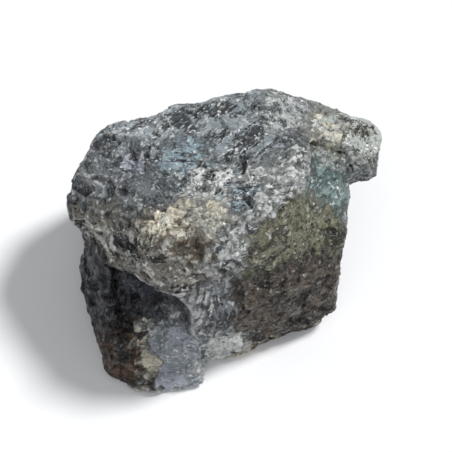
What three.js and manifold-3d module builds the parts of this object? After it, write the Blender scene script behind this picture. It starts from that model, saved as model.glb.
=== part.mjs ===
/*
 * A rough chunk of labradorite, as broken from the block and never tumbled or cut. It is one
 * solid stone: a broad top that slopes to a brow at the front left, a hollow broken out below
 * the brow, a steep cheek at the front right, one smooth cleavage facet high on the right, a
 * knob on the back right shoulder and a low foot in front.
 *
 * Millimetres, +Z up, front towards -Y. It lies on its flat underside, and its origin is the
 * middle of the bottom of its bounding box.
 */
import * as THREE from "three";
import { ConvexGeometry } from "three/addons/geometries/ConvexGeometry.js";
import { ImprovedNoise } from "three/addons/math/ImprovedNoise.js";
import { mergeVertices } from "three/addons/utils/BufferGeometryUtils.js";
import Module from "manifold-3d";

const LENGTH = 45;
const FACE_SIZE = 2.3;
const SWELL = { height: 0.9, width: 7 };
const CHIPS = { height: 0.45, width: 3.1 };
const CHIPS_OFFSET = 40;
const SAME_POINT = 1e-4;
const FAR = 200;

const wasm = await Module();
wasm.setup();

// The corners of the block that the stone would be with nothing broken out of it.
const CORNERS = {
  topRim: [
    [-22.4, 5, 16.5], [-21.3, 8.5, 18], [-18.2, 14.8, 19], [-12.2, 18.3, 20],
    [-6.6, 18.9, 21], [0.3, 18.8, 22], [6.6, 20.2, 22], [14, 16.8, 22.5],
  ],
  knob: [[19.2, 15.4, 21.5], [22, 14.6, 20], [22.8, 11.1, 19], [22.4, 8.8, 17.5]],
  browTop: [[-19.9, 3.7, 19], [-15.8, -0.6, 20.5], [-11.5, -4.9, 21.5], [-8.7, -8.1, 22]],
  browFoot: [
    [-21.7, 2.4, 16], [-17.5, -2.5, 17], [-14, -6.6, 17.3], [-10.5, -9.4, 17.6],
    [-5.8, -11.4, 18.5],
  ],
  ridge: [[12.2, 7.9, 25.5], [7.3, 1, 26], [4.2, -3.3, 25.5], [0.4, -8.7, 23]],
  frontRight: [
    [17.1, 0.7, 18.5], [17.8, -3.3, 13], [17, -5.5, 6], [15.4, -7.4, 2],
    [12.2, -7.2, 0], [-3.8, -14.6, 0], [-3.8, -11.3, 11],
  ],
  foot: [[-5.5, -17.5, 0.5], [-9, -18, 0.5], [-13, -17.8, 0.5], [-16, -15.4, 1], [-18.2, -12.9, 2]],
  leftEdge: [[-19.4, -10, 4], [-19.6, -8, 6], [-20.5, -5.8, 9], [-19, -3.5, 12]],
  back: [[-18, 17, 9], [-11, 21, 10], [2, 22.5, 9], [14, 20.5, 9], [18.5, 13, 9], [16.5, 4, 8]],
  base: [
    [-14, 13, -2], [-2, 17, -2], [10, 16, -2], [14.5, 8, -2], [13.5, -6, -2],
    [-6, -14, -2], [-14, -14, -2], [-17, -4, -2],
  ],
};

// Each piece that has broken away, as the corners of a convex block. Its inner corners lie in
// the stone and give the broken face, and its outer ones lie clear of the stone.
const BROKEN_OUT = {
  hollowUnderBrow: [
    [-16.3, -2, 15], [-12, -2.2, 16.8], [-6.5, -7, 17.6], [-4.4, -10.6, 15.5],
    [-15, -8.5, 7], [-9, -9.5, 8], [-5, -12.3, 8.5],
    [-17.5, -22, 19], [-16.5, -21, 1.5], [-3.5, -26, 19], [-3.4, -21, -1],
  ],
  leftFlank: [
    [-19.6, -1.5, 14.5], [-19.7, -5, 10.5], [-19.8, 6, 9], [-21.2, 4, 15],
    [-28, -6, 14], [-28, 4, 15.5], [-28, 10, 8], [-28, -6, 10],
  ],
  underKnob: [
    [17.2, 4.8, 22], [17.4, 7.6, 17.5], [17.5, 11, 12], [15.4, 20, -2], [17.9, -3.3, 13],
    [15, -7.5, -2], [17.3, -2, 19],
    [30, 4.8, 22], [30, 7.6, 17.5], [30, 20, -2], [30, -8, -2], [30, -6, 20],
  ],
  besideFoot: [
    [-3.2, -13.2, -3], [16.8, -6, -3], [17.8, -5.4, 12], [-3.4, -13.2, 12],
    [-3.2, -30, -3], [17, -30, -3], [17, -30, 12], [-3.4, -30, 12],
  ],
};

// Smooth cleavage faces, split off after the rest is roughened. The first four corners give the
// face, and the others the piece above it.
const CLEAVED = {
  highRight: [
    [11.4, 9.8, 23.7], [17, 9.8, 20.4], [17, 0, 18.1], [10.2, -2.8, 22.9],
    [11.4, 9.8, 32], [17, 9.8, 30], [17, 0, 30], [10.2, -6, 34], [24, 2, 30],
    [20, 0, 16.6], [20, 3, 17.3],
  ],
};

// Flat faces on the sides and the back: a point on each, and the way that it looks.
const FLAT_FACES = [
  { at: [-15.6, 17.6, 12], facing: [-0.62, 0.78, 0.05] },
  { at: [17, 19, 12], facing: [0.62, 0.76, -0.2] },
  { at: [16, 14, 5], facing: [0.82, 0.28, -0.5] },
  { at: [0, 20.6, 6], facing: [0.08, 0.86, -0.5] },
  { at: [-18.4, 8, 6], facing: [-0.88, 0.1, -0.46] },
];

function solidOf(geometry) {
  const bare = new THREE.BufferGeometry();
  bare.setAttribute("position", geometry.getAttribute("position"));
  bare.setIndex(geometry.index);
  const merged = mergeVertices(bare, SAME_POINT);
  const vertProperties = merged.attributes.position.array;
  const triVerts = new Uint32Array(merged.index.array);
  return new wasm.Manifold(new wasm.Mesh({ numProp: 3, vertProperties, triVerts }));
}

function blockOf(corners) {
  return solidOf(new ConvexGeometry(corners.map((corner) => new THREE.Vector3(...corner))));
}

function geometryOf(solid) {
  const { vertProperties, triVerts } = solid.getMesh();
  const geometry = new THREE.BufferGeometry();
  geometry.setAttribute("position", new THREE.BufferAttribute(vertProperties, 3));
  geometry.setIndex(new THREE.BufferAttribute(triVerts, 1));
  return geometry;
}

// A block far larger than the stone, with the middle of its bottom on the face.
function blockBeyond({ at, facing }) {
  const outward = new THREE.Vector3(...facing).normalize();
  const turn = new THREE.Quaternion().setFromUnitVectors(new THREE.Vector3(0, 0, 1), outward);
  const block = new THREE.BoxGeometry(FAR, FAR, FAR).translate(0, 0, FAR / 2);
  return solidOf(block.applyQuaternion(turn).translate(...at));
}

// Halves the longest edge of each face until none is longer than FACE_SIZE. Neighbours share
// the middles of their edges, so the surface stays closed.
function splitFaces(points, faces) {
  const middles = new Map();
  const lengthOf = (a, b) => points[a].distanceTo(points[b]);
  const middleOf = (a, b) => {
    const key = a < b ? `${a} ${b}` : `${b} ${a}`;
    if (!middles.has(key)) {
      middles.set(key, points.push(points[a].clone().lerp(points[b], 0.5)) - 1);
    }
    return middles.get(key);
  };
  const split = ([a, b, c]) => {
    const longest = Math.max(lengthOf(a, b), lengthOf(b, c), lengthOf(c, a));
    if (longest <= FACE_SIZE) return [[a, b, c]];
    if (lengthOf(a, b) < longest) return split([b, c, a]);
    const middle = middleOf(a, b);
    return [...split([a, middle, c]), ...split([middle, b, c])];
  };
  return faces.flatMap(split);
}

// The same solid with small faces, whose corners are moved in and out.
function roughened(solid) {
  const { vertProperties, triVerts } = solid.getMesh();
  const points = [];
  for (let i = 0; i < vertProperties.length; i += 3) {
    points.push(new THREE.Vector3().fromArray(vertProperties, i));
  }
  const faces = [];
  for (let i = 0; i < triVerts.length; i += 3) faces.push([...triVerts.subarray(i, i + 3)]);
  const small = splitFaces(points, faces);

  const geometry = new THREE.BufferGeometry().setFromPoints(points);
  geometry.setIndex(small.flat());
  geometry.computeVertexNormals();
  const { position, normal } = geometry.attributes;
  const noise = new ImprovedNoise();
  const outward = new THREE.Vector3();
  points.forEach((point, i) => {
    const swell = noise.noise(...point.clone().divideScalar(SWELL.width));
    const chips = noise.noise(
      ...point.clone().divideScalar(CHIPS.width).addScalar(CHIPS_OFFSET));
    outward.fromBufferAttribute(normal, i);
    point.addScaledVector(outward, SWELL.height * swell + CHIPS.height * chips);
    position.setXYZ(i, ...point);
  });
  return solidOf(geometry);
}

let stone = blockOf(Object.values(CORNERS).flat());
for (const corners of Object.values(BROKEN_OUT)) stone = stone.subtract(blockOf(corners));

stone = roughened(stone);
for (const corners of Object.values(CLEAVED)) stone = stone.subtract(blockOf(corners));
for (const face of FLAT_FACES) stone = stone.subtract(blockBeyond(face));
stone = stone.subtract(blockBeyond({ at: [0, 0, 0], facing: [0, 0, -1] }));

const geometry = geometryOf(stone);
geometry.computeBoundingBox();
const { min, max } = geometry.boundingBox;
geometry.translate(-(min.x + max.x) / 2, -(min.y + max.y) / 2, 0);
const scale = LENGTH / (max.x - min.x);
geometry.scale(scale, scale, scale);
geometry.computeVertexNormals();

const material = new THREE.MeshStandardMaterial({ color: 0x5c6360, roughness: 0.6, metalness: 0 });
const mesh = new THREE.Mesh(geometry, material);
mesh.name = "labradorite_chunk";
const group = new THREE.Group();
group.add(mesh);
export default group;
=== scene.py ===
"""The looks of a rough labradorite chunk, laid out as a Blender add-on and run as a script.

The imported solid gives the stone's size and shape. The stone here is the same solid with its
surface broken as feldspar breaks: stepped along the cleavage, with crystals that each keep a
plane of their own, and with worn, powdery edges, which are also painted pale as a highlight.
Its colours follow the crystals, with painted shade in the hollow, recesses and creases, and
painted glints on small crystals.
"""

import math
from typing import NamedTuple

import bpy
import numpy as np
from bpy.props import FloatProperty, FloatVectorProperty, PointerProperty
from bpy.types import Operator, Panel, PropertyGroup
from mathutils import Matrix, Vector


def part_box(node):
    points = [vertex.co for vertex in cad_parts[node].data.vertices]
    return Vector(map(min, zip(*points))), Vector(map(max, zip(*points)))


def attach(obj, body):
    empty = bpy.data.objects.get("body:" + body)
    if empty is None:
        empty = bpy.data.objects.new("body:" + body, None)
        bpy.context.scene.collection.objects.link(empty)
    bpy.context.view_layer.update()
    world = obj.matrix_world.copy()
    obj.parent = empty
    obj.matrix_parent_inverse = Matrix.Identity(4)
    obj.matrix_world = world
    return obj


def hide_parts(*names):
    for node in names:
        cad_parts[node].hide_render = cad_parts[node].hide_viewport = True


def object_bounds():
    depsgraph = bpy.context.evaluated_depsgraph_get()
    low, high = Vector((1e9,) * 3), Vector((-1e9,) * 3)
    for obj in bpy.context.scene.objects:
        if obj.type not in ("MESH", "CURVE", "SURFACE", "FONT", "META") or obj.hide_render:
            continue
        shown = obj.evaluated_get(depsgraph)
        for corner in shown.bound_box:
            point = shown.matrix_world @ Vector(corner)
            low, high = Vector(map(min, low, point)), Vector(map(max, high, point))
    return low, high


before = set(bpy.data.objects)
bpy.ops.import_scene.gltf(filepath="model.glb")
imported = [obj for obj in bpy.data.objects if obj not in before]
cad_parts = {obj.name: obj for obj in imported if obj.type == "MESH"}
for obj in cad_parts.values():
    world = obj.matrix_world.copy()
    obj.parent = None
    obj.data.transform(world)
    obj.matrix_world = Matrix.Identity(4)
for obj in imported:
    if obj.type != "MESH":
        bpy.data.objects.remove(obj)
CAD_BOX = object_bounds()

bl_info = {
    "name": "Rough Labradorite Chunk",
    "version": (1, 0, 0),
    "blender": (4, 5, 0),
    "location": "3D View > Sidebar > Stone",
    "description": "Breaks, colours and lights a rough labradorite chunk around its packed solid",
    "category": "Mesh",
}

NODE = "labradorite_chunk"
MM = 0.001

# Lengths are in mm here. The surface first grows by this much, and what splits off takes it back.
GROWTH = 0.35
# The unit that the material's pattern is measured in, across the cleavage lines.
LINE_WIDTH = 0.55
# The width and rise of the pale lip of a cleavage step, and how deep a crack goes.
LIP_WIDTH = 0.30
LIP_RISE = 0.30
CRACK_DEPTH = 0.35
# A crystal takes its colours from a place near its middle, up to half of this away along each
# axis.
STRAY = 1.7
# Rounds of averaging that give the stone's broad form, and how far an edge stands out of it or
# a crease lies in it: where each one starts to show, and where it shows fully.
BROAD_ROUNDS = 40
EDGE_TURNS = (0.35, 0.80)
CREASE_TURNS = (0.22, 0.45)
# Borders between zones wander in long waves and in short ones: length and reach of each.
LONG_WAVES = (5.0, 1.3)
SHORT_WAVES = (1.2, 0.5)
# How sharply one zone gives way to the next, and the nearest that a point counts as to a
# zone's run, in parts of the zone's reach.
BORDER_SHARPNESS = 9.0
LEAST_GAP = 0.05
# Waves in the layers that the cleavage steps follow: length and reach.
LAYER_WAVES = (4.0, 1.3)
# Heights over the flat underside where moving and splitting start and where they are full.
MOVE_HEIGHTS = (0.02, 1.2)
SPLIT_HEIGHTS = (0.02, 1.0)
# Rounds of flat pieces that split off: how many, how far each reaches and how deep it goes.
LARGE_SPLITS = (80, 6.5, 0.6)
MIDDLING_SPLITS = (420, 3.0, 0.32)
SMALL_SPLITS = (1600, 1.4, 0.12)
# Where the surface looks this much like a cleavage face, a piece splits along that face, and
# otherwise along the surface. The tilts say how far the split leans at random in each case.
CLEAVAGE_LIKENESS = 0.86
CLEAVAGE_TILT = 0.05
SURFACE_TILT = 0.16
# A split lies its lift below the height that SPLIT_LEVEL of the surface near it stays under,
# and takes off at most DEEPEST_SPLIT times that lift.
SPLIT_LEVEL = 0.9
DEEPEST_SPLIT = 2.2
# The middling crystals' size, and how steeply they and the grains lean.
MIDDLING_SIZE = 2.1
MIDDLING_TILT = 0.12
GRAIN_TILT = 0.20
# How far a single point may stand out from its neighbours.
SPIKE_LIMIT = 0.12
# Size of the crystals that break up the lips, and of those that take one colour each.
LIP_CRYSTAL = 0.95
PAINT_CRYSTAL = 1.1
# Moves the pattern of lines on from each zone to the next.
ZONE_OFFSET = 7.3
# Edges that turn by more than this are shaded sharp.
SHARP_ANGLE = math.radians(18)
# The floor's half width, in widths of the stone.
FLOOR_WIDTHS = 40

# What each noise is seeded with. Some noises also take the numbers that follow their own.
SALTS = {
    "long waves": 210,
    "short waves": 220,
    "layers": 300,
    "step strength": 310,
    "step waver": 320,
    "large crystals": 400,
    "middling crystals": 420,
    "grains": 430,
    "large splits": 500,
    "middling splits": 501,
    "small splits": 502,
    "lines": 600,
    "paint waver": 610,
    "paint crystals": 620,
    "lip gaps": 650,
    "lip crystals": 660,
    "lipped steps": 670,
}

# Large odd numbers that mix the bits of a lattice cell into a random number.
AXIS_MIXERS = (0x8DA6B343, 0xD8163841, 0xCB1AB31F)
SALT_MIXER = 0x9E3779B1
BIT_MIXER = 0x2C1B3C6D


# ---------------------------------------------------------------- settings


def colour(name, description, default):
    return FloatVectorProperty(
        name=name, description=description, default=default, subtype="COLOR", size=3, min=0, max=1
    )


def length(name, description, default_mm):
    return FloatProperty(
        name=name,
        description=description,
        default=default_mm * MM,
        min=0,
        subtype="DISTANCE",
        unit="LENGTH",
        precision=5,
    )


class StoneSettings(PropertyGroup):
    """Sizes of the broken surface, and the colours of the feldspar"""

    mesh_cell: length("Mesh cell", "Side of the faces that the broken surface is made of", 0.26)
    crystal_size: length("Crystal size", "Width of the large crystals", 3.0)
    grain_size: length("Grain size", "Width of the small crystals", 1.15)
    # charcoal: the stone's dark body, and also the painted shade of the hollow, column, gap and
    # creases
    charcoal: colour("Charcoal", "The dark, glassy depths", (0.010, 0.010, 0.012))
    # painted shade: this colour stands for the shade in the hollow under the brow
    hollow_shade: colour("Soot", "Depths where a little light comes back", (0.030, 0.031, 0.044))
    slate: colour("Slate", "The common dark grey", (0.038, 0.042, 0.047))
    steel: colour("Steel", "The common mid grey", (0.125, 0.136, 0.145))
    blue_grey: colour("Blue grey", "Pale cleavage faces with a blue cast", (0.235, 0.27, 0.29))
    sky: colour("Sky", "Cleavage faces with a blue-green flash", (0.24, 0.32, 0.36))
    lilac: colour("Lilac", "Cleavage faces with a faint violet cast", (0.34, 0.355, 0.415))
    silver: colour("Silver", "Palest clean faces", (0.42, 0.44, 0.43))
    ash: colour("Ash", "Pale clean faces with a green cast", (0.36, 0.385, 0.36))
    sea: colour("Sea", "Green-grey light on a smooth face", (0.15, 0.205, 0.20))
    teal: colour("Teal", "The sea-green flash on a smooth face", (0.055, 0.090, 0.088))
    taupe: colour("Taupe", "Grey-brown crystals", (0.20, 0.185, 0.155))
    olive: colour("Olive", "Dark green-brown crystals", (0.034, 0.032, 0.019))
    moss: colour("Moss", "Pale green-brown crystals", (0.15, 0.146, 0.092))
    umber: colour("Umber", "Iron-stained dark brown crystals", (0.020, 0.015, 0.011))
    bark: colour("Bark", "Iron-stained brown crystals", (0.073, 0.055, 0.041))
    rust: colour("Rust", "Rusty brown stain", (0.060, 0.026, 0.009))
    tan: colour("Tan", "Weathered yellow-brown feldspar", (0.125, 0.094, 0.055))
    cream: colour("Cream", "Powdery pale feldspar", (0.60, 0.55, 0.43))
    # crushed white feldspar, and also the colour of the painted glints and the painted highlight
    # on edges
    powder_and_highlight: colour("Powder", "Crushed white edges", (0.70, 0.71, 0.69))


class StageSettings(PropertyGroup):
    """The floor, the lights and the camera"""

    floor_colour: colour("Floor", "The plain pale floor", (0.86, 0.86, 0.87))
    lens: FloatProperty(name="Lens", description="Focal length", default=90, unit="CAMERA")
    elevation: FloatProperty(
        name="Elevation",
        description="Angle of the camera above the floor",
        default=math.radians(58),
        subtype="ANGLE",
        unit="ROTATION",
    )
    fill: FloatProperty(
        name="Fill", description="Part of the frame's width that the stone takes", default=0.70
    )


# ---------------------------------------------------------------- lattice noise


def scattered(cells, salt):
    """A random number from 0 to 1 for each row of whole numbers, the same on every run."""
    x, y, z = (cells[..., axis].astype(np.int64).astype(np.uint32) for axis in range(3))
    mix_x, mix_y, mix_z = (np.uint32(mixer) for mixer in AXIS_MIXERS)
    mixed = x * mix_x ^ y * mix_y ^ z * mix_z
    mixed ^= np.uint32((salt * SALT_MIXER) & 0xFFFFFFFF)
    for shift in (15, 13, 16):
        mixed ^= mixed >> np.uint32(shift)
        mixed *= np.uint32(BIT_MIXER)
    mixed ^= mixed >> np.uint32(15)
    return mixed / 2.0**32


def swell(points, size, salt):
    """Smooth noise from -1 to 1 that turns over about every size."""
    scaled = points / size
    low = np.floor(scaled)
    ease = scaled - low
    ease = ease * ease * (3 - 2 * ease)
    total = np.zeros(len(points))
    for corner in np.ndindex(2, 2, 2):
        share = np.prod(np.where(np.array(corner) == 1, ease, 1 - ease), axis=1)
        total += share * scattered(low + corner, salt)
    return 2 * total - 1


def drift(points, size, reach, salt):
    """The points moved about by noise, which makes straight borders wander."""
    moves = [swell(points, size, salt + axis) for axis in range(3)]
    return points + reach * np.stack(moves, axis=1)


def crystals(points, size, salt):
    """For each point: the way to it from its crystal's middle, how far inside the crystal it
    is (0 at the border), and three random numbers of the crystal's own."""
    scaled = points / size
    low = np.floor(scaled)
    nearest = np.full(len(points), np.inf)
    second = np.full(len(points), np.inf)
    away = np.zeros_like(points)
    home = np.zeros_like(points)
    for step in np.ndindex(3, 3, 3):
        cell = low + np.array(step) - 1
        middle = cell + np.stack([scattered(cell, salt + axis) for axis in range(3)], axis=1)
        offset = scaled - middle
        distance = np.einsum("ij,ij->i", offset, offset)
        closer = distance < nearest
        second = np.where(closer, nearest, np.minimum(second, distance))
        nearest = np.where(closer, distance, nearest)
        away[closer] = offset[closer]
        home[closer] = cell[closer]
    own = np.stack([scattered(home, salt + 10 + axis) for axis in range(3)], axis=1)
    return away * size, (np.sqrt(second) - np.sqrt(nearest)) * size, own


def smooth_step(value, low, high):
    """0 below low and 1 above high, eased between them."""
    eased = np.clip((value - low) / (high - low), 0, 1)
    return eased * eased * (3 - 2 * eased)


# ---------------------------------------------------------------- zones of the stone


# Coarse spots on and near the stone's surface that the zones run by, in twentieths of the
# box's width, depth and height.
LANDMARKS = {
    "left end": (1, 12, 14),
    "left of the top": (5, 10, 16),
    "left dip": (4, 13, 15),
    "back left": (3, 16, 15),
    "back": (10, 17, 17),
    "middle of the top": (8, 13, 17),
    "hump": (11, 12, 18),
    "back right": (14, 16, 18),
    "ridge root": (9, 11, 18),
    "ridge": (12, 10, 19),
    "ridge crest": (12, 8, 19),
    "blue dip": (11, 9, 19),
    "shoulder": (15, 12, 19),
    "shoulder foot": (10, 5, 17),
    "brow left": (1, 10, 13),
    "brow": (4, 7, 15),
    "brow tip": (8, 4, 15),
    "patch left": (6, 7, 17),
    "patch": (9, 7, 18),
    "diamond": (8, 5, 17),
    "column top": (2, 8, 11),
    "column": (2, 5, 6),
    "hollow left": (4, 6, 9),
    "hollow": (7, 5, 10),
    "tooth": (7, 4, 7),
    "foot left": (3, 2, 3),
    "foot band": (5, 3, 4),
    "foot": (7, 2, 4),
    "toe": (7, 1, 1),
    "toe left": (5, 0, 1),
    "strip top": (9, 3, 13),
    "strip": (9, 3, 7),
    "flakes": (10, 3, 4),
    "flakes foot": (9, 2, 2),
    "cheek top": (13, 6, 16),
    "cheek top right": (16, 8, 15),
    "cheek end": (18, 8, 13),
    "cheek": (12, 4, 8),
    "cheek right": (16, 6, 9),
    "cheek foot": (14, 5, 3),
    "right edge": (17, 7, 8),
    "right foot": (17, 6, 2),
    "base": (11, 3, 1),
    "facet": (16, 11, 16),
    "facet foot": (17, 10, 14),
    "gap": (14, 8, 17),
    "cluster": (16, 15, 18),
    "knob": (19, 15, 16),
    "back crest": (14, 19, 17),
    "left side": (1, 13, 6),
    "back left side": (4, 18, 8),
    "back side": (10, 20, 8),
    "back right side": (16, 19, 7),
    "right side": (18, 12, 7),
    "back upper left": (5, 18, 12),
    "back upper": (11, 20, 12),
    "back low": (13, 19, 3),
    "left low": (1, 15, 3),
    "right upper": (18, 12, 11),
}
LANDMARK_PARTS = 20


class Zone(NamedTuple):
    """A part of the surface that broke and stained in one way; a few zones are painted dark as
    shade instead.

    along names the landmarks that it runs by, and reach is how far from that run it reaches,
    in mm. layers is the way across the cleavage there, step the height of a cleavage step and
    relief how rough the crystals stand, and dark and light name the colours that the crystals
    take. crests is the part of the steps that have a pale, crushed lip, and rim how pale the
    zone's own border is. length is how far, in mm, a crystal runs along the lines."""

    along: tuple
    reach: float
    layers: tuple
    step: float
    relief: float
    dark: str
    light: str
    crests: float = 0.0
    rim: float = 0.0
    length: float = 2.4

    @property
    def across(self):
        """The way across the layers, as a unit vector."""
        return np.array(self.layers) / np.linalg.norm(self.layers)


# The way across the layers of the top, and the length of crystals that show no lines.
LEVEL = (-0.12, 0.28, 0.95)
GRANULAR = 0.8

ZONES = {
    "top": Zone(("back left", "back", "hump"), 5.0, LEVEL, 0.55, 0.8, "slate", "blue_grey", 0.4),
    "left top": Zone(
        ("back left", "left end", "left of the top"), 3.6, LEVEL, 0.55, 0.8, "slate", "steel", 0.4
    ),
    "right top": Zone(("back right",), 4.2, LEVEL, 0.55, 0.8, "steel", "silver", 0.2),
    "lilac top": Zone(("left dip",), 3.0, LEVEL, 0.5, 0.6, "slate", "lilac"),
    "blue top": Zone(("middle of the top",), 3.9, LEVEL, 0.5, 0.6, "slate", "sky", 0.4),
    "blue ridge": Zone(("blue dip",), 2.6, LEVEL, 0.5, 0.6, "slate", "sky", 0.2),
    "white ridges": Zone(
        ("ridge root", "ridge"), 2.6, (-0.1, 0.55, 0.83), 0.8, 1.3, "slate", "powder_and_highlight", 1.0,
        length=GRANULAR,
    ),
    "tan patch": Zone(
        ("patch left", "patch"), 2.0, (0.3, -0.5, 0.8), 0.7, 1.1, "tan", "cream", length=GRANULAR
    ),
    "cream block": Zone(
        ("patch",), 2.6, (0.3, -0.5, 0.8), 0.8, 1.0, "ash", "cream", length=GRANULAR
    ),
    "diamond": Zone(
        ("diamond",), 3.0, (0.2, -0.4, 0.9), 0.5, 0.7, "bark", "tan", rim=1.0, length=GRANULAR
    ),
    "brow": Zone(
        ("brow left", "brow", "brow tip"), 2.6, (-0.1, 0.22, 0.97), 0.8, 0.8,
        "charcoal", "taupe", 0.6,
    ),
    # painted shade: the column below the brow is coloured all charcoal for the shade it lies in
    "column": Zone(
        ("column top", "column"), 3.2, (0.9, -0.4, 0.1), 1.1, 1.0, "charcoal", "charcoal", 0.2
    ),
    # painted shade: the hollow under the brow is coloured near black
    "hollow": Zone(
        ("hollow left", "hollow"), 3.4, (0.8, -0.6, 0.2), 1.0, 0.8, "charcoal", "hollow_shade", 0.1
    ),
    "tooth": Zone(("tooth",), 1.1, (0.8, -0.6, 0.2), 0.7, 0.5, "blue_grey", "silver"),
    "rusty foot": Zone(
        ("foot left",), 3.0, (0.2, 0.5, 0.85), 0.7, 1.0, "charcoal", "rust", length=GRANULAR
    ),
    "cream foot": Zone(
        ("foot band", "toe left"), 1.4, (0.2, 0.5, 0.85), 0.7, 0.9, "taupe", "cream", rim=0.5
    ),
    "smooth foot": Zone(("foot", "toe"), 2.6, (0.2, -0.6, 0.75), 0.5, 0.4, "blue_grey", "lilac"),
    "olive foot": Zone(
        ("toe left",), 2.2, (0.2, -0.6, 0.75), 0.5, 0.8, "olive", "taupe", length=GRANULAR
    ),
    "ribbons": Zone(
        ("shoulder", "ridge crest", "shoulder foot"), 1.9, (0.49, -0.77, 0.38), 0.9, 0.6,
        "slate", "silver", 0.9,
    ),
    "strip": Zone(
        ("strip top", "strip"), 2.5, (0.8, -0.5, 0.1), 0.9, 0.7, "slate", "steel", 0.9
    ),
    "flakes": Zone(
        ("flakes", "flakes foot"), 2.3, (0.6, -0.5, 0.6), 0.9, 1.3, "silver", "powder_and_highlight", 1.0,
        length=GRANULAR,
    ),
    "upper cheek": Zone(
        ("cheek top", "cheek top right", "cheek end"), 3.2, (0.15, -0.35, 0.92), 0.6, 0.9,
        "olive", "moss", length=GRANULAR,
    ),
    "cheek": Zone(
        ("cheek", "cheek right", "cheek foot"), 4.0, (0.3, -0.75, 0.6), 0.7, 1.2, "umber", "bark",
        length=GRANULAR,
    ),
    "rusty edge": Zone(
        ("right edge",), 2.2, (0.3, -0.75, 0.6), 0.6, 1.0, "umber", "tan", length=GRANULAR
    ),
    "base edge": Zone(
        ("base", "right foot"), 1.0, (0.3, -0.75, 0.6), 0.6, 1.0, "tan", "cream", length=GRANULAR
    ),
    # painted shadow: the gap under the smooth facet's step is coloured all charcoal as a shadow
    # line
    "gap": Zone(("gap",), 0.7, (0.15, -0.35, 0.92), 0.6, 0.6, "charcoal", "charcoal"),
    "smooth facet": Zone(
        ("facet", "facet foot"), 3.2, (0.55, -0.1, 0.83), 0.35, 0.12, "teal", "sea"
    ),
    "shoulder": Zone(
        ("shoulder", "ridge"), 2.0, (0.49, -0.5, 0.7), 0.6, 0.5, "slate", "silver", 0.4
    ),
    "cream cluster": Zone(
        ("cluster",), 3.2, (0.4, 0.3, 0.85), 0.8, 1.3, "ash", "cream", rim=0.4, length=GRANULAR
    ),
    "knob": Zone(("knob",), 4.2, (0.5, 0.1, 0.85), 0.8, 0.8, "olive", "ash", 0.2, length=GRANULAR),
    "back crest": Zone(
        ("back crest",), 3.0, (0.5, 0.1, 0.85), 0.8, 0.8, "olive", "ash", length=GRANULAR
    ),
    "back pale": Zone(
        ("back upper left", "back upper"), 4.0, (0.3, 0.1, 0.95), 0.9, 0.9,
        "slate", "blue_grey", 0.3,
    ),
    "back rusty": Zone(
        ("back low",), 4.5, (0.3, 0.1, 0.95), 0.9, 1.1, "umber", "tan", length=GRANULAR
    ),
    "left rusty": Zone(
        ("left low",), 4.0, (0.3, 0.1, 0.95), 0.9, 1.1, "charcoal", "bark", length=GRANULAR
    ),
    "right pale": Zone(
        ("right upper",), 3.0, (0.3, 0.1, 0.95), 0.9, 0.9, "slate", "blue_grey", 0.3
    ),
    "back": Zone(
        ("left side", "back left side", "back side", "back right side", "right side"), 8.0,
        (0.2, 0.3, 0.93), 1.0, 1.1, "umber", "steel", 0.2, length=GRANULAR,
    ),
}


def gap_to_run(points, places):
    """How far each point is from the run of straight lines through the places."""
    best = np.full(len(points), np.inf)
    for start, end in zip(places, places[1:] if len(places) > 1 else places):
        run = end - start
        part = np.clip((points - start) @ run / max(run @ run, 1e-9), 0, 1)
        away = points - start - part[:, None] * run
        best = np.minimum(best, np.linalg.norm(away, axis=1))
    return best


def zone_shares(points, box_low, box_size):
    """How far each point belongs to each zone: rows add up to 1, with narrow wandering borders."""
    wandering = drift(points, *LONG_WAVES, SALTS["long waves"])
    wandering = drift(wandering, *SHORT_WAVES, SALTS["short waves"])
    gaps = []
    for zone in ZONES.values():
        parts = np.array([LANDMARKS[name] for name in zone.along]) / LANDMARK_PARTS
        gaps.append(gap_to_run(wandering, box_low + parts * box_size) / zone.reach)
    pull = np.maximum(np.stack(gaps, axis=1), LEAST_GAP) ** -BORDER_SHARPNESS
    return pull / pull.sum(axis=1, keepdims=True)


# ---------------------------------------------------------------- breaking the surface


class Surface:
    """The vertices of the stone in mm, with what the breaking needs to know about them."""

    def __init__(self, mesh):
        count = len(mesh.vertices)
        flat = np.empty(count * 3)
        mesh.vertices.foreach_get("co", flat)
        self.points = flat.reshape(-1, 3) / MM
        ends = np.empty(len(mesh.edges) * 2, dtype=np.int64)
        mesh.edges.foreach_get("vertices", ends)
        self.edges = ends.reshape(-1, 2)
        self.degree = np.bincount(ends, minlength=count)
        self.mesh = mesh
        self.normals = self.find_normals()

    def find_normals(self):
        self.write()
        flat = np.empty(len(self.points) * 3)
        self.mesh.vertices.foreach_get("normal", flat)
        return flat.reshape(-1, 3)

    def write(self):
        self.mesh.vertices.foreach_set("co", (self.points * MM).ravel())
        self.mesh.update()

    def averaged(self, values, rounds):
        """The values, each taken rounds times as the mean of its neighbours'."""
        first, last = self.edges[:, 0], self.edges[:, 1]
        count = len(values)
        for _ in range(rounds):
            columns = [
                np.bincount(first, column[last], count) + np.bincount(last, column[first], count)
                for column in values.T
            ]
            values = np.stack(columns, axis=1) / self.degree[:, None]
        return values

    def bulge(self, rounds):
        """How far each vertex stands out (or in, below 0) from the surface around it, in mm."""
        mean = self.averaged(self.points, rounds)
        return np.einsum("ij,ij->i", self.points - mean, self.normals)

    def move(self, shift):
        """Moves the vertices, less and less towards the flat underside, and never below it."""
        hold = smooth_step(self.points[:, 2], *MOVE_HEIGHTS)[:, None]
        self.points = self.points + shift * hold
        self.points[:, 2] = np.maximum(self.points[:, 2], 0)
        self.normals = self.find_normals()


def stepped(level, step, sharpness):
    """What takes a level to the nearest of flat steps with short risers between them."""
    steps = level / step
    part = steps - np.floor(steps)
    riser = smooth_step((part - 0.5) * sharpness + 0.5, 0, 1)
    return (np.floor(steps) + riser) * step - level


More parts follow.
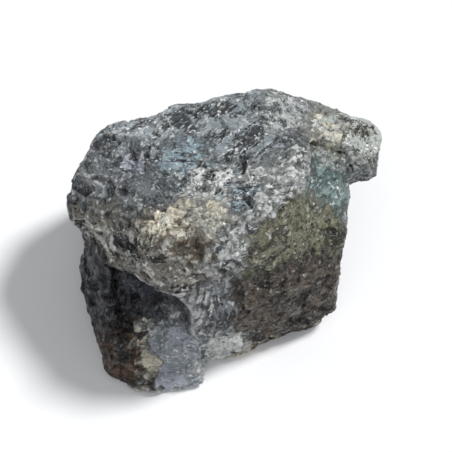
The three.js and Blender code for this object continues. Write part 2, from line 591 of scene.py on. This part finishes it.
def crystal_height(points, size, tilt, salt):
    """Height over the surface of crystals that each end in a plane of their own."""
    away, _, own = crystals(points, size, salt)
    slopes = (own - 0.5) * 2 * tilt
    return np.einsum("ij,ij->i", away, slopes) + (own[:, 0] - 0.5) * size * tilt * 0.6


def cleave(surface, faces, count, reach, depth, salt):
    """Splits count flat pieces off: each takes what stands above a plane within reach of it.

    The planes lie along the stone's cleavage where that is near the way the surface looks, and
    otherwise nearly along the surface."""
    random = np.random.default_rng(salt)
    points = surface.points
    wandering = drift(points, reach * 0.6, reach * 0.28, salt)
    looks = surface.averaged(surface.normals, 10)
    for _ in range(count):
        middle = random.integers(len(points))
        tilt = random.normal(size=3)
        lift = random.uniform(0.4, 1.0) * depth
        size = random.uniform(0.55, 1.0) * reach
        near = np.flatnonzero(((wandering - wandering[middle]) ** 2).sum(axis=1) < size**2)
        look = looks[near].mean(axis=0)
        look /= np.linalg.norm(look) + 1e-9
        likeness = faces @ look
        best = np.argmax(likeness)
        if likeness[best] > CLEAVAGE_LIKENESS:
            look = faces[best] + tilt * CLEAVAGE_TILT
        else:
            look = look + tilt * SURFACE_TILT
        look /= np.linalg.norm(look)
        height = points[near] @ look
        over = height - np.quantile(height, SPLIT_LEVEL) + lift
        over = np.clip(over, 0, lift * DEEPEST_SPLIT)
        hold = smooth_step(points[near, 2], *SPLIT_HEIGHTS)
        points[near] -= (over * hold)[:, None] * look
    points[:, 2] = np.maximum(points[:, 2], 0)
    surface.normals = surface.find_normals()


# The ways that the front and the two ends look, which no zone's layers give.
UPRIGHT_FACES = ((0.0, -0.97, 0.24), (0.95, -0.3, 0.1), (-0.9, -0.4, 0.2))


def cleavage_faces():
    """The ways that the feldspar's flat faces look: over each zone's layers, and upright."""
    return np.array([zone.across for zone in ZONES.values()] + [*UPRIGHT_FACES])


def find_crests(surface, shares):
    """The pale lips of cleavage steps, worn edges and zone borders, and the creases: how much
    of a crest and of a crease each point is. Worn edges are also painted pale as a highlight,
    and the creases, which sink in, are also painted dark as shade."""
    points = surface.points
    away, _, own = crystals(points, LIP_CRYSTAL, SALTS["lip crystals"])
    warped = drift(points, *LAYER_WAVES, SALTS["layers"]) - 0.20 * away
    width = LIP_WIDTH * (0.5 + own[:, 1])
    held = smooth_step(swell(points, 1.6, SALTS["lip gaps"]), -0.6, 0.2)
    crest = np.zeros(len(points))
    for number, zone in enumerate(ZONES.values()):
        level = warped @ zone.across / zone.step
        step = np.floor(level)
        cell = np.stack([step, np.full_like(step, number), np.zeros_like(step)], axis=1)
        lipped = scattered(cell, SALTS["lipped steps"]) < zone.crests
        lipped = lipped * smooth_step(own[:, 0], 0.0, 0.3)
        slope = np.sqrt(np.clip(1 - (surface.normals @ zone.across) ** 2, 0.04, 1))
        gap = (level - step - 0.5) * zone.step / slope / width
        border = np.minimum(5 * shares[:, number] * (1 - shares[:, number]), 1) * zone.rim
        line = np.exp(-(gap**2)) * lipped * smooth_step(shares[:, number], 0.2, 0.6)
        crest = np.maximum(crest, np.maximum(line, border))
    turn = surface.bulge(BROAD_ROUNDS)
    # convex edges count as crests and are painted pale, partly as wear and partly as a painted
    # highlight
    crest = np.maximum(crest, smooth_step(turn, *EDGE_TURNS))
    # painted shade: creases sink in here, and the material also paints them dark
    crease_and_shade = smooth_step(-turn, *CREASE_TURNS)
    # painted shadow: the gap zone counts as a crease, so it sinks in and is painted dark
    crease_and_shade = np.maximum(crease_and_shade, smooth_step(shares[:, list(ZONES).index("gap")], 0.3, 0.8))
    return crest * held, crease_and_shade


def break_surface(surface, shares, crest, crease_and_shade, settings):
    """Steps, crystals, grains and worn edges, from the largest down."""
    relief = shares @ np.array([zone.relief for zone in ZONES.values()])
    faces = cleavage_faces()
    cleave(surface, faces, *LARGE_SPLITS, SALTS["large splits"])

    warped = drift(surface.points, *LAYER_WAVES, SALTS["layers"])
    strength = 0.5 + 0.5 * swell(surface.points, 4.5, SALTS["step strength"])
    strength = np.clip(strength, 0.1, 0.85)
    shift = np.zeros_like(surface.points)
    for number, zone in enumerate(ZONES.values()):
        waver = 0.12 * swell(surface.points, 1.3, SALTS["step waver"] + number)
        steps = stepped(warped @ zone.across + waver, zone.step, 3.0)
        shift += (shares[:, number] * steps)[:, None] * zone.across
    surface.move(shift * strength[:, None])
    surface.move((LIP_RISE * crest - CRACK_DEPTH * crease_and_shade)[:, None] * surface.normals)

    cleave(surface, faces, *MIDDLING_SPLITS, SALTS["middling splits"])
    for size, tilt, salt in (
        (MIDDLING_SIZE, MIDDLING_TILT, SALTS["middling crystals"]),
        (settings.grain_size / MM, GRAIN_TILT, SALTS["grains"]),
    ):
        height = crystal_height(drift(surface.points, size, 0.3 * size, salt), size, tilt, salt)
        surface.move((height * relief)[:, None] * surface.normals)
    cleave(surface, faces, *SMALL_SPLITS, SALTS["small splits"])
    for _ in range(2):
        bulge = surface.bulge(2)
        spike = np.clip(np.abs(bulge) - SPIKE_LIMIT, 0, None) * np.sign(bulge)
        surface.move(-spike[:, None] * surface.normals)


def layer_space(surface, shares):
    """Places measured along the cleavage lines, across them and into the stone, so that one
    pattern runs along the lines everywhere."""
    points = drift(surface.points, 3.0, 0.5, SALTS["lines"])
    mixed = np.zeros_like(points)
    for number, zone in enumerate(ZONES.values()):
        out = shares[:, number] @ surface.normals
        out /= np.linalg.norm(out)
        along = np.cross(zone.layers, out)
        along /= np.linalg.norm(along)
        axes = np.stack([along / zone.length, np.cross(out, along) / LINE_WIDTH, out / LINE_WIDTH])
        mixed += shares[:, number, None] * (points @ axes.T + number * ZONE_OFFSET)
    return mixed


def paint_surface(surface, crest, crease_and_shade, box_low, box_size, settings):
    """What the material reads: the crystals' colours, their grain, the edges with their painted
    highlight, and the painted shade in pits and creases.
    """
    mesh = surface.mesh
    points = surface.points
    wavering = drift(points, 1.2, 0.3, SALTS["paint waver"])
    away, _, own = crystals(wavering, PAINT_CRYSTAL, SALTS["paint crystals"])
    strayed = points - away + STRAY * (own - 0.5)
    shares = zone_shares(strayed, box_low, box_size)
    for shade in ("dark", "light"):
        tones = np.array([getattr(settings, getattr(zone, shade)) for zone in ZONES.values()])
        colours = np.ones((len(points), 4))
        colours[:, :3] = shares @ tones
        layer = mesh.color_attributes.new(f"{shade}_tone", "FLOAT_COLOR", "POINT")
        layer.data.foreach_set("color", colours.ravel())

    size = settings.crystal_size / MM
    salt = SALTS["large crystals"]
    _, _, large = crystals(drift(points, size, 0.3 * size, salt), size, salt)
    _, _, small = crystals(points, settings.grain_size / MM, SALTS["grains"])
    relief = shares @ np.array([zone.relief for zone in ZONES.values()])
    tones = np.array([getattr(settings, zone.light) for zone in ZONES.values()])
    space = mesh.attributes.new("layer_space", "FLOAT_VECTOR", "POINT")
    space.data.foreach_set("vector", layer_space(surface, shares).astype(np.float32).ravel())
    masks = {
        "pale": np.clip(shares @ tones.mean(axis=1) / 0.3, 0, 1),
        "crest": crest,
        "crease_and_shade": crease_and_shade,
        "crystal": large[:, 1],
        "grain": small[:, 1],
        # convex ridges and edges, painted pale partly as crushed feldspar and partly as a
        # highlight
        "ridge": smooth_step(surface.bulge(3), 0.04, 0.14),
        "edge": smooth_step(surface.bulge(16), 0.15, 0.6),
        # painted shade: where the surface lies in from its surroundings, this mask darkens the
        # colour
        "recess_shade": smooth_step(-surface.bulge(16), 0.05, 0.55),
        "smooth": np.clip(1 - relief, 0, 1),
    }
    for name, values in masks.items():
        layer = mesh.attributes.new(name, "FLOAT", "POINT")
        layer.data.foreach_set("value", values.astype(np.float32))


# ---------------------------------------------------------------- shader nodes


def add(tree, kind, inputs=None, **settings):
    """Adds a node, sets it up, and gives its inputs a value or the output that feeds them."""
    node = tree.nodes.new(kind)
    for name, value in settings.items():
        setattr(node, name, value)
    for name, value in (inputs or {}).items():
        if isinstance(value, bpy.types.NodeSocket):
            tree.links.new(value, node.inputs[name])
        else:
            node.inputs[name].default_value = value
    return node


def calculate(tree, operation, first, second=0.0, clamp=False):
    """One Math node."""
    node = add(tree, "ShaderNodeMath", {0: first, 1: second}, operation=operation)
    node.use_clamp = clamp
    return node.outputs[0]


def product(tree, first, second):
    return calculate(tree, "MULTIPLY", first, second)


def spread(tree, value, low, high, to_low=0.0, to_high=1.0):
    """The value between low and high, eased to run from to_low to to_high."""
    node = add(
        tree,
        "ShaderNodeMapRange",
        {"Value": value, "From Min": low, "From Max": high, "To Min": to_low, "To Max": to_high},
        interpolation_type="SMOOTHSTEP",
    )
    return node.outputs["Result"]


def blended(tree, share, first, second, blend_type="MIX"):
    """One colour over another."""
    node = add(tree, "ShaderNodeMix", data_type="RGBA", blend_type=blend_type)
    for socket, value in ((0, share), (6, first), (7, second)):
        if isinstance(value, bpy.types.NodeSocket):
            tree.links.new(value, node.inputs[socket])
        else:
            node.inputs[socket].default_value = value
    return node.outputs[2]


def attribute(tree, name, output="Fac"):
    return add(tree, "ShaderNodeAttribute", attribute_name=name).outputs[output]


def new_group(name, inputs, outputs):
    """An empty shader node group with these sockets, and its two end nodes."""
    group = bpy.data.node_groups.new(name, "ShaderNodeTree")
    for socket, (kind, default) in inputs.items():
        made = group.interface.new_socket(socket, in_out="INPUT", socket_type=kind)
        if default is not None:
            made.default_value = default
    for socket, kind in outputs.items():
        group.interface.new_socket(socket, in_out="OUTPUT", socket_type=kind)
    return group, group.nodes.new("NodeGroupInput"), group.nodes.new("NodeGroupOutput")


def placed(tree, group, **inputs):
    """A node group in a material, with this material's own values."""
    node = tree.nodes.new("ShaderNodeGroup")
    node.node_tree = group
    for name, value in inputs.items():
        socket = node.inputs[name.replace("_", " ").capitalize()]
        if isinstance(value, bpy.types.NodeSocket):
            tree.links.new(value, socket)
        else:
            socket.default_value = value
    return node


def speckle_group():
    """Small crystals seen in the surface: a random shade, a lean of the normal, and flecks."""
    group, start, end = new_group(
        "Feldspar Speckle",
        {
            "Vector": ("NodeSocketVector", None),
            "Size": ("NodeSocketFloat", 0.5),
            "Lean": ("NodeSocketFloat", 0.4),
        },
        {"Shade": "NodeSocketFloat", "Normal": "NodeSocketVector"},
    )
    wander = add(
        group,
        "ShaderNodeTexNoise",
        {"Vector": start.outputs["Vector"], "Scale": 1.3, "Detail": 1.0},
    )
    moved = add(
        group,
        "ShaderNodeVectorMath",
        {0: wander.outputs["Color"], 1: (0.7, 0.7, 0.7), 2: start.outputs["Vector"]},
        operation="MULTIPLY_ADD",
    )
    scale = calculate(group, "DIVIDE", 1.0, start.outputs["Size"])
    cells = add(
        group,
        "ShaderNodeTexVoronoi",
        {"Vector": moved.outputs[0], "Scale": scale, "Randomness": 1.0},
    )
    shade = add(group, "ShaderNodeSeparateColor", {0: cells.outputs["Color"]}).outputs[0]
    centred = add(
        group,
        "ShaderNodeVectorMath",
        {0: cells.outputs["Color"], 1: (0.5, 0.5, 0.5)},
        operation="SUBTRACT",
    )
    lean = add(
        group,
        "ShaderNodeVectorMath",
        {0: centred.outputs[0], "Scale": start.outputs["Lean"]},
        operation="SCALE",
    )
    facing = add(group, "ShaderNodeNewGeometry").outputs["Normal"]
    leaning = add(
        group, "ShaderNodeVectorMath", {0: lean.outputs[0], 1: facing}, operation="ADD"
    )
    normal = add(group, "ShaderNodeVectorMath", {0: leaning.outputs[0]}, operation="NORMALIZE")
    group.links.new(shade, end.inputs["Shade"])
    group.links.new(normal.outputs[0], end.inputs["Normal"])
    return group


def streak_group():
    """Light and dark drawn out along the cleavage, and the broken pale lines of its steps."""
    group, start, end = new_group(
        "Cleavage Streaks",
        {"Vector": ("NodeSocketVector", None), "Width": ("NodeSocketFloat", 0.06)},
        {"Tone": "NodeSocketFloat", "Line": "NodeSocketFloat"},
    )
    here = start.outputs["Vector"]
    broad = add(
        group,
        "ShaderNodeTexNoise",
        {"Vector": here, "Scale": 0.3, "Detail": 4.0, "Roughness": 0.65},
    )
    tone = spread(group, broad.outputs["Fac"], 0.32, 0.68)
    winding = add(
        group,
        "ShaderNodeTexNoise",
        {"Vector": here, "Scale": 0.8, "Detail": 2.0, "Roughness": 0.55, "Distortion": 0.3},
    )
    off_line = calculate(
        group, "ABSOLUTE", calculate(group, "SUBTRACT", winding.outputs["Fac"], 0.5)
    )
    line = spread(group, calculate(group, "DIVIDE", off_line, start.outputs["Width"]), 1.0, 0.3)
    breaks = add(
        group, "ShaderNodeTexNoise", {"Vector": here, "Scale": 1.7, "Detail": 1.0}
    )
    line = product(group, line, spread(group, breaks.outputs["Fac"], 0.42, 0.60))
    group.links.new(tone, end.inputs["Tone"])
    group.links.new(line, end.inputs["Line"])
    return group


def stone_material(settings):
    """Rough labradorite: crystal by crystal shades, streaks, flecks, worn edges also painted as a
    highlight, glints both real and painted, and painted shade in recesses and creases.
    """
    material = bpy.data.materials.new("rough_labradorite")
    material.use_nodes = True
    tree = material.node_tree
    tree.nodes.clear()

    def fixed(name):
        return (*getattr(settings, name), 1.0)

    place = add(tree, "ShaderNodeTexCoord").outputs["Object"]
    in_mm = add(
        tree, "ShaderNodeVectorMath", {0: place, "Scale": 1 / MM}, operation="SCALE"
    ).outputs[0]

    speckle = speckle_group()
    in_layers = attribute(tree, "layer_space", "Vector")
    fine = placed(tree, speckle, vector=in_mm, size=0.36, lean=0.8)
    laths = placed(tree, speckle, vector=in_layers, size=1.0, lean=0.5)
    streaks = placed(tree, streak_group(), vector=in_layers, width=0.03)

    # How light each crystal is, from the large ones down to the flecks, less a painted shade in
    # the recesses.
    shade = product(tree, streaks.outputs["Tone"], 0.46)
    for part, share in (
        (attribute(tree, "crystal"), 0.36),
        (attribute(tree, "grain"), 0.20),
        (laths.outputs["Shade"], 0.24),
        (fine.outputs["Shade"], 0.12),
        # painted shade: the recess mask darkens the tone
        (attribute(tree, "recess_shade"), -0.45),
    ):
        shade = calculate(tree, "ADD", shade, product(tree, part, share))
    colour_now = blended(
        tree,
        spread(tree, shade, 0.50, 0.77),
        attribute(tree, "dark_tone", "Color"),
        attribute(tree, "light_tone", "Color"),
    )

    def over(share, strength, name):
        """A palette colour laid over the colour so far."""
        return blended(tree, product(tree, share, strength), colour_now, fixed(name))

    # Dark flecks, pale flecks painted as glints, the lines of the steps, and crushed edges that
    # are also painted as a highlight.
    pale = spread(tree, attribute(tree, "pale"), 0.0, 1.0, 0.12, 1.0)
    rough = calculate(tree, "SUBTRACT", 1.0, attribute(tree, "smooth"))
    dark_fleck = product(tree, spread(tree, fine.outputs["Shade"], 0.12, 0.07), rough)
    colour_now = over(dark_fleck, 0.7, "charcoal")
    # painted highlight: the palest small cells are coloured white as glints
    painted_glint = product(tree, spread(tree, fine.outputs["Shade"], 0.955, 0.97), pale)
    colour_now = over(painted_glint, 0.85, "powder_and_highlight")
    line = product(tree, streaks.outputs["Line"], pale)
    colour_now = over(line, 0.8, "powder_and_highlight")
    crushed = add(
        tree, "ShaderNodeTexNoise", {"Vector": in_mm, "Scale": 0.7, "Detail": 3.0}
    ).outputs["Fac"]
    chalky = blended(tree, 0.6, attribute(tree, "light_tone", "Color"), fixed("powder_and_highlight"))
    on_crest = product(tree, spread(tree, attribute(tree, "crest"), 0.2, 0.8), 0.9)
    chalk_share = spread(tree, attribute(tree, "pale"), 0.0, 0.5, 0.12, 1.0)
    on_crest = product(tree, on_crest, chalk_share)
    grainy = spread(tree, fine.outputs["Shade"], 0.05, 0.45, 0.35, 1.0)
    colour_now = blended(tree, product(tree, on_crest, grainy), colour_now, chalky)
    # partly painted highlight: convex ridges and edges are coloured pale, as crushed feldspar and
    # as a highlight
    worn = calculate(tree, "MAXIMUM", attribute(tree, "ridge"), attribute(tree, "edge"))
    powder_and_highlight = product(tree, worn, spread(tree, crushed, 0.42, 0.60))
    powder_and_highlight = product(tree, powder_and_highlight, pale)
    colour_now = over(powder_and_highlight, 0.75, "powder_and_highlight")
    # painted shade: creases and the gap's groove are coloured near charcoal
    painted_crease_shade = product(tree, spread(tree, attribute(tree, "crease_and_shade"), 0.2, 0.7), 0.9)
    colour_now = blended(tree, painted_crease_shade, colour_now, fixed("charcoal"))

    # How glassy the surface is, and its fine relief.
    glassy = spread(tree, laths.outputs["Shade"], 0.45, 0.65)
    roughness = calculate(tree, "SUBTRACT", 0.60, product(tree, glassy, 0.32))
    roughness = calculate(tree, "ADD", roughness, product(tree, powder_and_highlight, 0.3), clamp=True)

    pitting = add(
        tree,
        "ShaderNodeTexNoise",
        {"Vector": in_mm, "Scale": 3.2, "Detail": 4.0, "Roughness": 0.7},
    ).outputs["Fac"]
    relief = calculate(tree, "ADD", product(tree, pitting, 0.5), streaks.outputs["Tone"])
    relief = calculate(tree, "ADD", relief, product(tree, streaks.outputs["Line"], 0.4))
    leaning = add(
        tree,
        "ShaderNodeMix",
        {"Factor": 0.5, 4: laths.outputs["Normal"], 5: fine.outputs["Normal"]},
        data_type="VECTOR",
    ).outputs[1]
    bump = add(
        tree,
        "ShaderNodeBump",
        {"Strength": 0.9, "Distance": 0.00025, "Height": relief, "Normal": leaning},
    )
    shader = add(
        tree,
        "ShaderNodeBsdfPrincipled",
        {
            "Base Color": colour_now,
            "Roughness": roughness,
            "IOR": 1.56,
            "Specular IOR Level": 0.22,
            "Coat Weight": product(tree, glassy, 0.45),
            "Coat Roughness": 0.22,
            "Normal": bump.outputs["Normal"],
        },
    )
    output = add(tree, "ShaderNodeOutputMaterial")
    tree.links.new(shader.outputs[0], output.inputs["Surface"])
    return material


def floor_material(settings):
    """Matt white card."""
    material = bpy.data.materials.new("pale_floor")
    material.use_nodes = True
    shader = material.node_tree.nodes["Principled BSDF"]
    shader.inputs["Base Color"].default_value = (*settings.floor_colour, 1)
    shader.inputs["Roughness"].default_value = 0.9
    shader.inputs["Specular IOR Level"].default_value = 0.1
    return material


def studio_world():
    """A soft sky over the floor, and a white backdrop all round behind it."""
    world = bpy.data.worlds.new("studio")
    world.use_nodes = True
    tree = world.node_tree
    toward = add(tree, "ShaderNodeTexCoord").outputs["Generated"]
    height = add(tree, "ShaderNodeSeparateXYZ", {0: toward}).outputs["Z"]
    background = tree.nodes["Background"]
    background.inputs["Color"].default_value = (0.94, 0.97, 1.0, 1)
    tree.links.new(spread(tree, height, 0.14, 0.40, 1.0, 0.30), background.inputs["Strength"])
    return world


# ---------------------------------------------------------------- operators


def linked(obj):
    bpy.context.scene.collection.objects.link(obj)
    return obj


class STONE_OT_chunk(Operator):
    """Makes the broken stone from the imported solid, with its colours and its material"""

    bl_idname = "stone.chunk"
    bl_label = "Make the stone"

    def execute(self, context):
        settings = context.scene.stone
        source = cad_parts[NODE]
        stone = linked(bpy.data.objects.new("rough_stone", source.data.copy()))
        stone.data.name = "rough_stone"
        remesh = stone.modifiers.new("even faces", "REMESH")
        remesh.mode = "VOXEL"
        remesh.voxel_size = settings.mesh_cell
        evaluated = stone.evaluated_get(context.evaluated_depsgraph_get())
        fine = bpy.data.meshes.new_from_object(evaluated)
        stone.modifiers.clear()
        stone.data = fine
        if not fine.vertices:
            raise RuntimeError("the remeshed stone is empty")

        low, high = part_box(NODE)
        box_low = np.array(low) / MM
        box_size = np.array(high - low) / MM
        surface = Surface(fine)
        shares = zone_shares(surface.points, box_low, box_size)
        surface.move(GROWTH * surface.normals)
        crest, crease_and_shade = find_crests(surface, shares)
        break_surface(surface, shares, crest, crease_and_shade, settings)
        surface.points = np.clip(surface.points, box_low, box_low + box_size)
        surface.write()
        paint_surface(surface, crest, crease_and_shade, box_low, box_size, settings)

        fine.materials.clear()
        fine.materials.append(stone_material(settings))
        fine.shade_smooth()
        fine.set_sharp_from_angle(angle=SHARP_ANGLE)
        print("stone triangles:", sum(len(face.vertices) - 2 for face in fine.polygons))
        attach(stone, "root")
        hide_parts(NODE)
        return {"FINISHED"}


class STONE_OT_stage(Operator):
    """Lays the floor, hangs the soft lights and sets up the camera"""

    bl_idname = "stone.stage"
    bl_label = "Make the stage"

    def execute(self, context):
        settings = context.scene.stage
        low, high = CAD_BOX
        middle = (low + high) / 2
        size = high - low

        half = size.x * FLOOR_WIDTHS
        mesh = bpy.data.meshes.new("floor")
        corners = [(-half, -half, 0), (half, -half, 0), (half, half, 0), (-half, half, 0)]
        mesh.from_pydata(corners, [], [(0, 1, 2, 3)])
        mesh.materials.append(floor_material(settings))
        floor = linked(bpy.data.objects.new("floor", mesh))

        # Where each sun stands, in widths of the stone, how many degrees wide it is, and how
        # strong.
        lamps = {
            "key": ((7.5, 4, 10), 12, 3.1),
            "fill": ((-2, -6, 12), 50, 0.5),
        }
        for name, (place, spread_degrees, strength) in lamps.items():
            light = bpy.data.lights.new(name, "SUN")
            light.angle = math.radians(spread_degrees)
            light.energy = strength
            lamp = linked(bpy.data.objects.new(name, light))
            lamp.location = Vector(place) * size.x
            lamp.rotation_euler = (middle - lamp.location).to_track_quat("-Z", "Y").to_euler()
        context.scene.world = studio_world()

        camera = bpy.data.cameras.new("camera")
        camera.lens = settings.lens
        view = linked(bpy.data.objects.new("camera", camera))
        distance = size.x / settings.fill * settings.lens / camera.sensor_width
        back = Vector((0, -math.cos(settings.elevation), math.sin(settings.elevation)))
        view.location = middle + back * distance
        view.rotation_euler = (-back).to_track_quat("-Z", "Y").to_euler()
        camera.clip_start = 0.005
        camera.clip_end = 10
        context.scene.camera = view
        context.scene.view_settings.view_transform = "Standard"
        return {"FINISHED"}


class STONE_PT_panel(Panel):
    """The stone's sizes and colours, and its stage"""

    bl_idname = "STONE_PT_panel"
    bl_label = "Rough Labradorite"
    bl_space_type = "VIEW_3D"
    bl_region_type = "UI"
    bl_category = "Stone"

    def draw(self, context):
        for operator, settings in (
            (STONE_OT_chunk, context.scene.stone),
            (STONE_OT_stage, context.scene.stage),
        ):
            box = self.layout.box()
            box.operator(operator.bl_idname)
            for name in settings.__annotations__:
                box.prop(settings, name)


CLASSES = (StoneSettings, StageSettings, STONE_OT_chunk, STONE_OT_stage, STONE_PT_panel)


def register():
    for each in CLASSES:
        bpy.utils.register_class(each)
    bpy.types.Scene.stone = PointerProperty(type=StoneSettings)
    bpy.types.Scene.stage = PointerProperty(type=StageSettings)


def unregister():
    del bpy.types.Scene.stage
    del bpy.types.Scene.stone
    for each in reversed(CLASSES):
        bpy.utils.unregister_class(each)


def main():
    register()
    bpy.ops.stone.chunk()
    bpy.ops.stone.stage()


if __name__ == "__main__":
    main()
